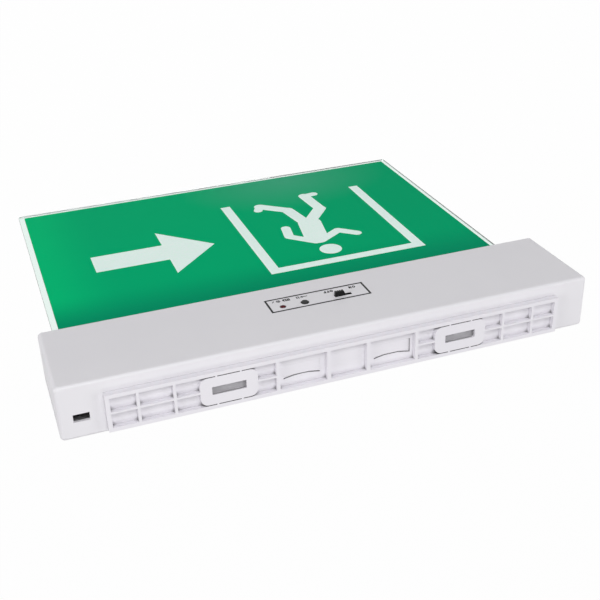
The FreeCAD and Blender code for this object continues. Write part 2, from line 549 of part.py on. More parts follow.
def switch_knob():
    """The slide knob in its OFF place: a grooved tongue, sloped on one side, on a foot inside the can."""
    front = CONTROL_BOARD_FRONT - SWITCH_CAN[2]
    foot_y = front + 0.8 + KNOB_CLEAR
    tip = FRONT_FACE - KNOB_PROUD
    near, far, low = KNOB_X + KNOB_LENGTH / 2, KNOB_X - KNOB_LENGTH / 2, CONTROLS_Z - KNOB_WIDTH / 2
    outline = Part.makePolygon([V(near, foot_y + 0.2, low), V(near, tip, low), V(near - KNOB_TIP, tip, low),
                                V(far, FRONT_FACE, low), V(far, foot_y + 0.2, low), V(near, foot_y + 0.2, low)])
    tongue = Part.Face(outline).extrude(UP * KNOB_WIDTH)
    foot = block((KNOB_FOOT[0], KNOB_FOOT[2], KNOB_FOOT[1]), V(KNOB_X, foot_y + KNOB_FOOT[2] / 2, CONTROLS_Z))
    first = near - KNOB_TIP / 2
    grooves = [box(first + i * 1.2 - 0.25, first + i * 1.2 + 0.25, tip - 1, tip + 0.4,
                   CONTROLS_Z - KNOB_WIDTH, CONTROLS_Z + KNOB_WIDTH) for i in (-1, 0, 1)]
    return cut(fuse(tongue, foot), *grooves)


# ---------------------------------------------------------------- battery
def battery_pack():
    """Three cells end to end in one shrunk sleeve."""
    return rod(CELL_R, V(BATTERY_X - BATTERY_LENGTH / 2, BATTERY_Y, BATTERY_Z), RIGHT, BATTERY_LENGTH)


def battery_clip(side):
    """A snap clip on the rear wall: most of a ring, open to the front, on a flat foot."""
    x0 = BATTERY_X + side * CLIP_OFFSET - CLIP_WIDTH / 2
    inner, outer = CELL_R + CLIP_FIT, CELL_R + CLIP_FIT + CLIP_THICK
    ring = rod(outer, V(x0, BATTERY_Y, BATTERY_Z), RIGHT, CLIP_WIDTH)
    foot = box(x0, x0 + CLIP_WIDTH, BATTERY_Y, REAR_IN, BATTERY_Z - 5, BATTERY_Z + 5)
    bore = rod(inner, V(x0 - 1, BATTERY_Y, BATTERY_Z), RIGHT, CLIP_WIDTH + 2)
    mouth = box(x0 - 1, x0 + CLIP_WIDTH + 1, BATTERY_Y - outer - 1, BATTERY_Y - inner * 0.55,
                BATTERY_Z - outer - 1, BATTERY_Z + outer + 1)
    return cut(fuse(ring, foot), bore, mouth)


# ---------------------------------------------------------------- driver board and its parts
def driver_board():
    x, z = DRIVER_BOARD
    board = block((x, BOARD_THICK, z), V(DRIVER_X, DRIVER_REAR - BOARD_THICK / 2, DRIVER_Z))
    holes = [rod(1.3, V(hx, DRIVER_FRONT - 1, hz), BACK, BOARD_THICK + 2) for hx, hz in driver_screws_at()]
    return cut(board, *holes)


def driver_screws():
    return [cheese_screw(V(x, DRIVER_FRONT, z), BACK, BOARD_THICK + 3, SMALL_PILOT_R, 2.2, 1.4)
            for x, z in driver_screws_at()]


def on_driver(size, x, z):
    """A block standing on the driver board's front; size is along X, out of the board, and up."""
    return block(size, V(x, DRIVER_FRONT - size[1] / 2, z))


def transformer():
    """A small switching transformer: a wound bobbin in a two-legged core."""
    x, z = DRIVER_X - 26.0, DRIVER_Z
    core = on_driver((20.0, 13.5, 17.0), x, z)
    window = box(x - 7.4, x + 7.4, DRIVER_FRONT - 11.5, DRIVER_FRONT - 2.0, z - 9, z + 9)
    limb = box(x - 2.6, x + 2.6, DRIVER_FRONT - 11.6, DRIVER_FRONT - 1.9, z - 8.5, z + 8.5)
    winding = box(x - 6.6, x + 6.6, DRIVER_FRONT - 10.9, DRIVER_FRONT - 2.6, z - 10.5, z + 10.5)
    winding = winding.makeFillet(2.0, [e for e in winding.Edges if e.BoundBox.ZLength > 20])
    return fuse(cut(core, window), limb, winding)


def storage_capacitors():
    """Three upright electrolytic cans."""
    cans = []
    for x, z, r, tall in ((6.0, 7.0, 5.0, 12.5), (6.0, -6.5, 5.0, 12.5), (-46.0, -7.5, 4.0, 11.5)):
        cans.append(rod(r, V(DRIVER_X + x, DRIVER_FRONT, DRIVER_Z + z), FRONT, tall))
    return cans


def suppression_capacitor():
    return on_driver((13.0, 11.0, 6.0), DRIVER_X + 30.0, DRIVER_Z - 9.0)


def choke():
    """A drum choke in a shrunk sleeve."""
    return rod(4.5, V(DRIVER_X + 22.0, DRIVER_FRONT, DRIVER_Z + 8.0), FRONT, 9.2)


def fuse_tube():
    """A cartridge fuse in its square holder."""
    start = V(DRIVER_X + 32.0, DRIVER_FRONT - 3.1, DRIVER_Z + 9.0)
    ends = [box(start.x + i, start.x + i + 4, DRIVER_FRONT - 6, DRIVER_FRONT, start.z - 3, start.z + 3)
            for i in (0, 11)]
    return fuse(rod(2.4, start, RIGHT, 15.0), *ends)


def terminal_at(i):
    return V(DRIVER_X + TERMINAL_X - 3.0, DRIVER_FRONT, DRIVER_Z - 7.0 + (i - 1) * TERMINAL_PITCH)


def terminal_block():
    """The mains terminals: three ways, each with a wire mouth and a screw well."""
    body = on_driver((9.0, 10.0, TERMINAL_WAYS * TERMINAL_PITCH), terminal_at(1).x, terminal_at(1).z)
    cuts = []
    for i in range(TERMINAL_WAYS):
        p = terminal_at(i)
        cuts.append(box(p.x + 1, p.x + 5, p.y - 4.6, p.y - 1.6, p.z - 1.6, p.z + 1.6))
        cuts.append(box(p.x - 2.8, p.x + 0.8, p.y - 11, p.y - 7, p.z - 1.8, p.z + 1.8))
    return cut(body, *cuts)


def terminal_screws():
    screws = []
    for i in range(TERMINAL_WAYS):
        p = terminal_at(i)
        screws.append(rod(1.6, V(p.x - 1.0, p.y - 9.2, p.z), BACK, 2.2))
    return screws


def lead(points, across):
    """A flat twin lead along straight runs. Its width lies along the axis numbered across."""
    half = [LEAD_WIDTH / 2 if k == across else LEAD_THICK / 2 for k in range(3)]
    last = len(points) - 2
    runs = []
    for i in range(last + 1):
        along = (points[i + 1] - points[i]).normalize()
        a = points[i] - along * (LEAD_THICK / 2 if i else 0)
        b = points[i + 1] + along * (LEAD_THICK / 2 if i < last else 0)
        side = [0 if along[k] else half[k] for k in range(3)]
        low = [min(a[k], b[k]) - side[k] for k in range(3)]
        high = [max(a[k], b[k]) + side[k] for k in range(3)]
        runs.append(box(low[0], high[0], low[1], high[1], low[2], high[2]))
    return fuse(*runs)


def battery_lead():
    """From the end of the battery to the driver board."""
    x = DRIVER_X - DRIVER_BOARD[0] / 2 + LEAD_INSET
    return lead([V(BATTERY_X + BATTERY_LENGTH / 2, BATTERY_Y, BATTERY_Z), V(x, BATTERY_Y, BATTERY_Z),
                 V(x, DRIVER_FRONT, BATTERY_Z)], 2)


def lamp_lead():
    """From the driver board down through the holder's top to the emitters' board."""
    return lead([V(LAMP_LEAD_X, DRIVER_FRONT, DRIVER_Z - 3), V(LAMP_LEAD_X, 0, DRIVER_Z - 3),
                 V(LAMP_LEAD_X, 0, LED_BOARD_TOP)], 0)


def control_lead():
    """From the driver board across to the control board."""
    rear = CONTROL_BOARD_FRONT + BOARD_THICK
    return lead([V(CONTROL_LEAD_X, DRIVER_FRONT, CONTROLS_Z + 5), V(CONTROL_LEAD_X, rear, CONTROLS_Z + 5)], 0)


PARTS = {
    "mounting_bracket": lambda: [mounting_bracket()],
    "housing": lambda: [housing()],
    "bottom_cover": lambda: [bottom_cover()],
    "cover_screws": cover_screws,
    "sign_plate": lambda: [sign_plate()],
    "front_legend": lambda: [legend(-1)],
    "rear_legend": lambda: [legend(1)],
    "plate_holder": lambda: [plate_holder()],
    "holder_screws": holder_screws,
    "plate_screws": plate_screws,
    "led_board": lambda: [led_board()],
    "leds": leds,
    "control_board": lambda: [control_board()],
    "control_screws": control_screws,
    "power_lamp": lambda: [power_lamp()],
    "test_button": lambda: [test_button()],
    "test_switch": lambda: [test_switch()],
    "power_switch": lambda: [power_switch()],
    "switch_knob": lambda: [switch_knob()],
    "battery_pack": lambda: [battery_pack()],
    "battery_clip_left": lambda: [battery_clip(-1)],
    "battery_clip_right": lambda: [battery_clip(1)],
    "driver_board": lambda: [driver_board()],
    "driver_screws": driver_screws,
    "transformer": lambda: [transformer()],
    "storage_capacitors": storage_capacitors,
    "suppression_capacitor": lambda: [suppression_capacitor()],
    "choke": lambda: [choke()],
    "fuse": lambda: [fuse_tube()],
    "terminal_block": lambda: [terminal_block()],
    "terminal_screws": terminal_screws,
    "battery_lead": lambda: [battery_lead()],
    "lamp_lead": lambda: [lamp_lead()],
    "control_lead": lambda: [control_lead()],
}

os.makedirs("parts", exist_ok=True)
for name, make in PARTS.items():
    solids = make()
    shape = solids[0] if len(solids) == 1 else Part.makeCompound(solids)
    assert shape.isValid() and all(s.Volume > 0 for s in shape.Solids), name
    print(f"{name:22s} solids {len(shape.Solids):3d}  volume {shape.Volume:10.1f} mm3")
    shape.exportStep(f"parts/{name}.step")
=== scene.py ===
# %% [markdown]
# # A ceiling exit light, dressed for its picture
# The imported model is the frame: every part at its real size, in metres, with the ceiling at Z = 0 and
# the controls facing -Y. This file gives each part its finish, adds the thin things that are printed or
# pressed on rather than moulded, and sets up a plain studio. The box of the untouched model is kept
# from the start, because at the end the dressed model must still fit it.

# %% Load the frame
import math

import bmesh
import bpy
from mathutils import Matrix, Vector


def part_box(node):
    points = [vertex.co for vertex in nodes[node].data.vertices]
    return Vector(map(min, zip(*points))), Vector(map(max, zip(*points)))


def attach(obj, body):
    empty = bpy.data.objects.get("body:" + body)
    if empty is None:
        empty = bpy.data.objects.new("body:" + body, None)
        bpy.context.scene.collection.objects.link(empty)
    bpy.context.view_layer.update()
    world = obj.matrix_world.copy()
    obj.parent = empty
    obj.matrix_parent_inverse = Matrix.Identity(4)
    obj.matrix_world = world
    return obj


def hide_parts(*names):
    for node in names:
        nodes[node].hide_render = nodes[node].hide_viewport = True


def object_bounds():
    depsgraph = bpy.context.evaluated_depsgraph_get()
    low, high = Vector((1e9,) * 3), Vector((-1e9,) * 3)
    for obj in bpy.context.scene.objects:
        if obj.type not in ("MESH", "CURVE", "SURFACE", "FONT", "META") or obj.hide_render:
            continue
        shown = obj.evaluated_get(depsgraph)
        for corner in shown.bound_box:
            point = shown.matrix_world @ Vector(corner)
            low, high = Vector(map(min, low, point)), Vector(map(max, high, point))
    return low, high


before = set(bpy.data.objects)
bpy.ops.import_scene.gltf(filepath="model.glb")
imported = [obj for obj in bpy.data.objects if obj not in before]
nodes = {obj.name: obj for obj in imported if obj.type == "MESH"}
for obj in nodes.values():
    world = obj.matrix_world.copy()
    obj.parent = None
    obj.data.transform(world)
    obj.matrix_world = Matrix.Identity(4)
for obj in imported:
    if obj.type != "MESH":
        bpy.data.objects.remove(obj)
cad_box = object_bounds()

MM = 0.001
print("box", [tuple(round(v, 4) for v in corner) for corner in cad_box])

# %% [markdown]
# ## Camera
# The camera stands above the ceiling side and in front, rolled almost half a turn, so that the light
# lies in the picture upside down, with its sign pointing away. A lens of about 59 mm on a 36 mm sensor
# gives the mild perspective of a product shot. Euler angles are the plainest way to hold a roll that is
# this large.

# %% Camera
CAMERA_PLACE = (0.19922, -0.32392, 0.48693)
CAMERA_TURN = (-27.643, -20.206, 178.227)     # degrees about X, Y and Z
LENS = 59.24

camera_data = bpy.data.cameras.new("camera")
camera_data.lens = LENS
camera_data.clip_end = 20
camera = bpy.data.objects.new("camera", camera_data)
camera.location = CAMERA_PLACE
camera.rotation_euler = [math.radians(angle) for angle in CAMERA_TURN]
bpy.context.collection.objects.link(camera)
bpy.context.scene.camera = camera
bpy.context.scene.view_settings.view_transform = "Standard"
camera_away = Vector(CAMERA_PLACE).length
print("camera", LENS, "mm lens,", round(camera_away, 3), "m from the ceiling plane's middle")

# %% [markdown]
# ## Node helpers
# A material is a small graph. Most finishes here need the same few steps: start from a Principled
# shader, make a noise in object space, run it through a ramp for colour or a Bump node for relief.
# These helpers keep each later cell down to what is special about that finish. Values that never vary
# go straight onto the shader's sockets, because a linked constant is lost by many exporters.

# %% Node helpers
def new_material(name, colour, roughness, **sockets):
    """A Principled material with its plain values set, returned with its tree and shader."""
    material = bpy.data.materials.new(name)
    material.use_nodes = True
    tree = material.node_tree
    shader = tree.nodes["Principled BSDF"]
    shader.inputs["Base Color"].default_value = (*colour, 1)
    shader.inputs["Roughness"].default_value = roughness
    for socket, value in sockets.items():
        shader.inputs[socket.replace("_", " ")].default_value = value
    material.diffuse_color = (*colour, 1)
    return material, tree, shader


def add(tree, kind, **settings):
    """A node of that kind. Settings name its properties, or its sockets where it has no such property."""
    node = tree.nodes.new(kind)
    for name, value in settings.items():
        if hasattr(node, name):
            setattr(node, name, value)
        else:
            node.inputs[name.replace("_", " ")].default_value = value
    return node


def noise(tree, scale, detail=3.0, stretch=(1, 1, 1)):
    """A noise in object space; scale is in lumps per metre and stretch squeezes it along each axis."""
    place = add(tree, "ShaderNodeTexCoord")
    turn = add(tree, "ShaderNodeMapping")
    turn.inputs["Scale"].default_value = stretch
    texture = add(tree, "ShaderNodeTexNoise", Scale=scale, Detail=detail)
    tree.links.new(place.outputs["Object"], turn.inputs["Vector"])
    tree.links.new(turn.outputs["Vector"], texture.inputs["Vector"])
    return texture.outputs["Fac"]


def bump(tree, shader, height, strength, depth):
    """Relief of that depth in metres, from a height socket."""
    node = add(tree, "ShaderNodeBump", Strength=strength, Distance=depth)
    tree.links.new(height, node.inputs["Height"])
    tree.links.new(node.outputs["Normal"], shader.inputs["Normal"])


def spread(tree, factor, low, high, socket):
    """Maps a 0 to 1 value onto low to high and feeds it to a socket."""
    node = add(tree, "ShaderNodeMapRange")
    node.inputs["To Min"].default_value = low
    node.inputs["To Max"].default_value = high
    tree.links.new(factor, node.inputs["Value"])
    tree.links.new(node.outputs["Result"], socket)


def tint(tree, factor, dark, light, socket):
    """Blends two colours by a 0 to 1 value and feeds the result to a socket."""
    ramp = add(tree, "ShaderNodeValToRGB")
    ramp.color_ramp.elements[0].position = 0.3
    ramp.color_ramp.elements[0].color = (*dark, 1)
    ramp.color_ramp.elements[1].position = 0.7
    ramp.color_ramp.elements[1].color = (*light, 1)
    tree.links.new(factor, ramp.inputs["Fac"])
    tree.links.new(ramp.outputs["Color"], socket)


def dress(names, material):
    """Gives a material to CAD nodes."""
    for name in names:
        nodes[name].data.materials.clear()
        nodes[name].data.materials.append(material)


print("helpers ready")

# %% [markdown]
# ## White mouldings
# The housing, bracket and cover are white ABS out of a spark-textured mould: an even satin, slightly
# cool, with a grain a fraction of a millimetre across and very faint clouding where the melt cooled
# unevenly. Two noises do that: a coarse one moves the colour and roughness a little, a fine one gives
# the grain its relief.

# %% White mouldings
CLOUD, SHEEN, GRAIN = 22.0, 60.0, 2600.0      # lumps per metre
GRAIN_DEPTH = 0.00003


def moulded_white(name, light, dark, roughness):
    material, tree, shader = new_material(name, light, roughness, Specular_IOR_Level=0.45)
    tint(tree, noise(tree, CLOUD, 2.0), dark, light, shader.inputs["Base Color"])
    sheen = noise(tree, SHEEN, 4.0)
    spread(tree, sheen, roughness - 0.05, roughness + 0.06, shader.inputs["Roughness"])
    bump(tree, shader, noise(tree, GRAIN, 2.0), 0.35, GRAIN_DEPTH)
    return material


housing_white = moulded_white("housing_white_abs", (0.80, 0.787, 0.82), (0.785, 0.772, 0.806), 0.42)
bracket_white = moulded_white("bracket_white_abs", (0.81, 0.792, 0.835), (0.792, 0.774, 0.82), 0.36)
dress(["housing", "bottom_cover"], housing_white)
dress(["mounting_bracket", "plate_holder"], bracket_white)
print("white mouldings dressed")

# %% [markdown]
# ## Shaded recesses
# The slits round the latch leaves, the wells of the screw pads and the corners between the ribs are
# narrow and deep, so on the real moulding little light reaches their floors. Darker paint could show
# that, but it would have to follow every rib. Here an Ambient Occlusion node measures how open each
# point is within a few millimetres, and the colour is scaled down where it is nearly closed, so the
# shade follows the ribs by itself.

# %% Shaded recesses
CLOSED, OPEN = 0.08, 0.66      # open shares where the shade is deepest and where it ends


def shade_recesses(material, reach, deepest):
    """Scales the colour from 1 down to deepest in corners, slits and wells narrower than reach, in mm."""
    tree = material.node_tree
    shader = tree.nodes["Principled BSDF"]
    moulded = shader.inputs["Base Color"].links[0].from_socket
    open_share = add(tree, "ShaderNodeAmbientOcclusion", Distance=reach * MM)
    level = add(tree, "ShaderNodeMapRange", interpolation_type="SMOOTHSTEP")
    limits = {"From Min": CLOSED, "From Max": OPEN, "To Min": deepest, "To Max": 1.0}
    for socket, value in limits.items():
        level.inputs[socket].default_value = value
    shaded = add(tree, "ShaderNodeVectorMath", operation="SCALE")
    tree.links.new(open_share.outputs["AO"], level.inputs["Value"])
    tree.links.new(moulded, shaded.inputs[0])
    tree.links.new(level.outputs["Result"], shaded.inputs["Scale"])
    tree.links.new(shaded.outputs[0], shader.inputs["Base Color"])


shade_recesses(bracket_white, 3.6, 0.05)
shade_recesses(housing_white, 1.4, 0.3)
print("recesses shaded on", bracket_white.name, "and", housing_white.name)

# %% [markdown]
# ## Floor, world and lamps
# The object is pale on white, so its edges must come from shade and not from a darker background. The
# floor and the world show white only to the rays that look at them, or that see them through the clear
# plate or in a gloss; the light that falls on the object comes from soft lamps and a moderate sky.

# %% Floor and world
FLOOR_DROP = 0.55
FLOOR_SIZE = 14.0
FLOOR_GREY = 0.82
WHITE_SHARE = 0.98
SKY = 0.31


def seen_directly(tree):
    """One for rays that should show white: from the camera, a gloss or through the clear plate."""
    path = add(tree, "ShaderNodeLightPath")
    first = add(tree, "ShaderNodeMath", operation="MAXIMUM")
    second = add(tree, "ShaderNodeMath", operation="MAXIMUM")
    tree.links.new(path.outputs["Is Camera Ray"], first.inputs[0])
    tree.links.new(path.outputs["Is Glossy Ray"], first.inputs[1])
    tree.links.new(first.outputs[0], second.inputs[0])
    tree.links.new(path.outputs["Is Transmission Ray"], second.inputs[1])
    return second.outputs[0]


def floor_material():
    material = bpy.data.materials.new("studio_floor")
    material.use_nodes = True
    tree = material.node_tree
    tree.nodes.clear()
    lit = add(tree, "ShaderNodeBsdfDiffuse")
    lit.inputs["Color"].default_value = (FLOOR_GREY, FLOOR_GREY, FLOOR_GREY, 1)
    white = add(tree, "ShaderNodeEmission")
    white.inputs["Strength"].default_value = 1.0
    share = add(tree, "ShaderNodeMath", operation="MULTIPLY")
    share.inputs[1].default_value = WHITE_SHARE
    mix = add(tree, "ShaderNodeMixShader")
    out = add(tree, "ShaderNodeOutputMaterial")
    tree.links.new(seen_directly(tree), share.inputs[0])
    tree.links.new(share.outputs[0], mix.inputs["Fac"])
    tree.links.new(lit.outputs[0], mix.inputs[1])
    tree.links.new(white.outputs[0], mix.inputs[2])
    tree.links.new(mix.outputs[0], out.inputs["Surface"])
    return material


def studio_floor():
    mesh = bpy.data.meshes.new("floor")
    half = FLOOR_SIZE / 2
    z = cad_box[0][2] - FLOOR_DROP
    corners = [(-half, -half, z), (half, -half, z), (half, half, z), (-half, half, z)]
    mesh.from_pydata(corners, [], [(0, 1, 2, 3)])
    floor = bpy.data.objects.new("floor", mesh)
    bpy.context.collection.objects.link(floor)
    mesh.materials.append(floor_material())
    return z


def studio_world(strength):
    world = bpy.data.worlds.new("studio")
    bpy.context.scene.world = world
    world.use_nodes = True
    tree = world.node_tree
    background = tree.nodes["Background"]
    background.inputs["Color"].default_value = (1, 1, 1, 1)
    level = add(tree, "ShaderNodeMapRange")
    level.inputs["To Min"].default_value = strength
    level.inputs["To Max"].default_value = 1.0
    tree.links.new(seen_directly(tree), level.inputs["Value"])
    tree.links.new(level.outputs["Result"], background.inputs["Strength"])


floor_level = studio_floor()
studio_world(SKY)
print("floor at", round(floor_level, 3))

# %% [markdown]
# ## Lamps
# One large soft key stands high over the front and makes the ceiling face and the walls that look to
# the front bright. Two weaker lamps stand beyond the ends: the one at the cable end is low, so it lifts
# that end of the housing, and the one at the far end is higher. A narrow strip behind and above reaches
# the walls that look to the rear. All four are area lamps, because their size is what makes the shadows
# soft.

# %% Lamps
LAMP_AIM = (0, 0, 0)
LAMPS = {      # place and size in metres, and power in watts
    "key": ((0.1, -1.3, 1.2), (0.9, 0.8), 15.0),
    "end_fill": ((1.35, -0.25, 0.5), (0.9, 0.7), 6.8),
    "far_fill": ((-1.4, 0.2, 0.9), (0.9, 0.7), 6.5),
    "low_fill": ((0.0, 0.8, 1.35), (1.2, 0.2), 3.3),
}


def area_lamp(name, place, size, power):
    data = bpy.data.lights.new(name, "AREA")
    data.shape = "RECTANGLE"
    data.size, data.size_y = size
    data.energy = power
    lamp = bpy.data.objects.new(name, data)
    lamp.location = place
    lamp.rotation_euler = (Vector(LAMP_AIM) - Vector(place)).to_track_quat("-Z", "Y").to_euler()
    bpy.context.collection.objects.link(lamp)


for name, (place, size, power) in LAMPS.items():
    area_lamp(name, place, size, power)
print("lamps", list(LAMPS))

# %% [markdown]
# ## Places on a part
# The plate, its film and the painted mouldings change from place to place, so their finishes need to
# know where they are. Every part of the frame keeps its place in its vertices, so object space is the
# shared frame in metres, and one axis of it can be compared or mapped to a share from 0 to 1.

# %% Place helpers
def axis_value(tree, axis):
    """X, Y or Z of the shaded point, in metres of the shared frame."""
    place = add(tree, "ShaderNodeTexCoord")
    split = add(tree, "ShaderNodeSeparateXYZ")
    tree.links.new(place.outputs["Object"], split.inputs["Vector"])
    return split.outputs[axis]


def share_of(tree, value, start, end):
    """0 at start, 1 at end, eased between them."""
    node = add(tree, "ShaderNodeMapRange", interpolation_type="SMOOTHSTEP")
    node.inputs["From Min"].default_value = start * MM
    node.inputs["From Max"].default_value = end * MM
    tree.links.new(value, node.inputs["Value"])
    return node.outputs["Result"]


def arithmetic(tree, operation, first, second):
    node = add(tree, "ShaderNodeMath", operation=operation)
    for socket, value in zip(node.inputs, (first, second)):
        if isinstance(value, (int, float)):
            socket.default_value = value
        else:
            tree.links.new(value, socket)
    return node.outputs[0]


def blend_colours(tree, factor, first, second):
    """first where factor is 0, second where it is 1; either may be a colour or a socket."""
    node = add(tree, "ShaderNodeMix", data_type="RGBA")
    colour_sockets = [socket for socket in node.inputs if socket.type == "RGBA"]
    tree.links.new(factor, node.inputs[0])
    for socket, value in zip(colour_sockets, (first, second)):
        if isinstance(value, tuple):
            socket.default_value = (*value, 1)
        else:
            tree.links.new(value, socket)
    return [socket for socket in node.outputs if socket.type == "RGBA"][0]


print("place helpers ready")

# %% [markdown]
# ## Control openings, screw slots and end seams
# The three openings in the front are read as black holes round the lamp, the button and the knob, so the
# thickness of the wall inside them is painted black as shade. The walls of the two screw slots in the
# bracket are painted grey as shade, because the pads are hollow below them. Each end of the housing carries
# a fine moulding seam that runs down from near the ceiling side to the bottom edge. All of these are boxes
# in the shared frame, which costs no extra faces.

# %% Painted boxes
def inside_box(tree, low, high, fade=0.2):
    """1 inside a box given by two corners in mm, easing to 0 at its sides."""
    share = None
    for axis, start, end in zip("XYZ", low, high):
        value = axis_value(tree, axis)
        for side in (share_of(tree, value, start, start + fade), share_of(tree, value, end, end - fade)):
            share = side if share is None else arithmetic(tree, "MULTIPLY", share, side)
    return share


def paint_boxes(material, boxes):
    tree = material.node_tree
    colour = tree.nodes["Principled BSDF"].inputs["Base Color"]
    for low, high, paint in boxes:
        below = colour.links[0].from_socket
        tree.links.new(blend_colours(tree, inside_box(tree, low, high), below, paint), colour)


# The first two colours are painted shade, black in the control openings and grey in the screw slots; the
# third is the seam's own grey.
OPENING_SHADE, SLOT_SHADE, SEAM_GREY = (0.006, 0.006, 0.006), (0.36, 0.35, 0.37), (0.30, 0.29, 0.31)
SLOT_X, SLOT_Y = (-79.2, 75.4), 3.25      # middles of the boxes; the left slot's own middle is at -80.9
SLOT_HALF_X, SLOT_HALF_Y, SLOT_LOW, SLOT_HIGH = 11.0, 3.0, -9, -0.4
SEAM_Y, SEAM_HALF, SEAM_TOP, SEAM_DEPTH = 8.6, 0.7, -12.0, 0.5
PAST_KNOB, PAST_LAMP, OPENING_SHADE_HALF = 6, 2, 4
OPENING_SHADE_FROM, OPENING_SHADE_TO = 0.1, 2.6         # behind the front face

lamp_low, lamp_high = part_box("power_lamp")
knob_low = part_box("switch_knob")[0]
house_low, house_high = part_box("housing")
front, end_x = house_low.y / MM, house_high.x / MM
seam_foot = house_low.z / MM - 1
row = (lamp_low.z + lamp_high.z) / 2 / MM

# Painted shade: the slot walls are painted grey.
slots = []
for x in SLOT_X:
    low = (x - SLOT_HALF_X, SLOT_Y - SLOT_HALF_Y, SLOT_LOW)
    high = (x + SLOT_HALF_X, SLOT_Y + SLOT_HALF_Y, SLOT_HIGH)
    slots.append((low, high, SLOT_SHADE))
paint_boxes(bracket_white, slots)

# Painted shade: the wall inside the openings, behind the front face, is painted black.
opening_shade_low = (knob_low.x / MM - PAST_KNOB, front + OPENING_SHADE_FROM, row - OPENING_SHADE_HALF)
opening_shade_high = (lamp_high.x / MM + PAST_LAMP, front + OPENING_SHADE_TO, row + OPENING_SHADE_HALF)
boxes = [(opening_shade_low, opening_shade_high, OPENING_SHADE)]
for end in (-end_x, end_x):
    low = (end - SEAM_DEPTH, SEAM_Y - SEAM_HALF, seam_foot)
    high = (end + SEAM_DEPTH, SEAM_Y + SEAM_HALF, SEAM_TOP)
    boxes.append((low, high, SEAM_GREY))
paint_boxes(housing_white, boxes)
print("painted", len(slots) + len(boxes), "boxes; controls at z", round(row, 1), "mm")

# %% [markdown]
# ## The clear plate
# The sign hangs as a 3 mm sheet of clear acrylic, lit from its top edge when the mains fails. Real
# refraction makes its margins look like glass, with a faint green cast. Its side edges and its bottom edge
# are saw-cut and left matt. Their colour is painted light: pale as if lit on the near side, and a dark
# painted shade on the far side, where they are seen through the sheet.

# %% Acrylic
ACRYLIC_TINT = (0.78, 0.90, 0.85)
# The two sawn-edge colours are one edge lit and in painted shade: pale on the near, +X side and dark on the
# far, -X side.
SAWN_LIT, SAWN_SHADED, DUST = (0.62, 0.68, 0.64), (0.10, 0.08, 0.065), (0.3, 0.3, 0.3)
EDGE = 0.12 * MM           # how deep a sawn edge counts as sawn
SAWN_SHARE = 0.8

acrylic, tree, shader = new_material("clear_acrylic", ACRYLIC_TINT, 0.02, Transmission_Weight=1.0, IOR=1.49)
bump(tree, shader, noise(tree, 30.0, 2.0), 0.1, 0.00002)
plate_low, plate_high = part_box("sign_plate")
across = axis_value(tree, "X")
aside = arithmetic(tree, "ABSOLUTE", across, 0.0)
sides = arithmetic(tree, "GREATER_THAN", aside, plate_high.x - EDGE)
foot = arithmetic(tree, "LESS_THAN", axis_value(tree, "Z"), plate_low.z + EDGE)
sawn = add(tree, "ShaderNodeBsdfDiffuse", Roughness=0.6)
shade = blend_colours(tree, share_of(tree, across, 100.0, -100.0), SAWN_LIT, SAWN_SHADED)
grain = noise(tree, 500.0, 3.0, (1, 1, 0.08))
dusted = blend_colours(tree, arithmetic(tree, "MULTIPLY", grain, 0.25), shade, DUST)
tree.links.new(dusted, sawn.inputs[0])
on_edge = arithmetic(tree, "MAXIMUM", sides, foot)
mix = add(tree, "ShaderNodeMixShader")
tree.links.new(arithmetic(tree, "MULTIPLY", on_edge, SAWN_SHARE), mix.inputs[0])
tree.links.new(shader.outputs[0], mix.inputs[1])
tree.links.new(sawn.outputs[0], mix.inputs[2])
tree.links.new(mix.outputs[0], tree.nodes["Material Output"].inputs["Surface"])
dress(["sign_plate"], acrylic)
print("plate dressed, side edges at", round(plate_high.x / MM, 2), "mm")

# %% [markdown]
# ## Printed film
# Each face of the plate carries a green film. Its colour holds painted light: the green is lit brightest at
# the cable end, carries painted shade that makes it a little duller at the far end and deeper under the
# housing, and has one soft painted reflection of the room low on the sheet. Screen-print mottle keeps it
# from looking like paint. Its specular level is almost nil, because the white room around it would
# otherwise wash the colour out.

# %% Film
# Besides the middle green, these colours are painted light: a lit green, a painted shade that the print's
# mottle also uses, a deeper painted shade under the housing, and a painted reflection with its place and
# size.
FILM_LIT, FILM_MIDDLE, FILM_SHADE_AND_MOTTLE = (0.0015, 0.60, 0.215), (0.001, 0.475, 0.19), (0.001, 0.42, 0.175)
FILM_DEEP_SHADE, FILM_REFLECTION = (0.0015, 0.30, 0.145), (0.07, 0.46, 0.26)
REFLECTION_PATCH = ((-62.0, -294.0), (95.0, 62.0))      # middle and half-size, X and Z
MOTTLE, MOTTLE_SHARE = 11.0, 0.22


def soft_patch(tree, middle, half):
    """1 at the middle of an ellipse in the X-Z plane, falling to 0 at its edge."""
    place = add(tree, "ShaderNodeTexCoord")
    turn = add(tree, "ShaderNodeMapping")
    turn.inputs["Scale"].default_value = (1 / (half[0] * MM), 0, 1 / (half[1] * MM))
    turn.inputs["Location"].default_value = (-middle[0] / half[0], 0, -middle[1] / half[1])
    ball = add(tree, "ShaderNodeTexGradient", gradient_type="SPHERICAL")
    tree.links.new(place.outputs["Object"], turn.inputs["Vector"])
    tree.links.new(turn.outputs["Vector"], ball.inputs["Vector"])
    return ball.outputs["Fac"]


film_green, tree, shader = new_material("printed_green_film", FILM_MIDDLE, 0.3, Specular_IOR_Level=0.003)
across, up = axis_value(tree, "X"), axis_value(tree, "Z")
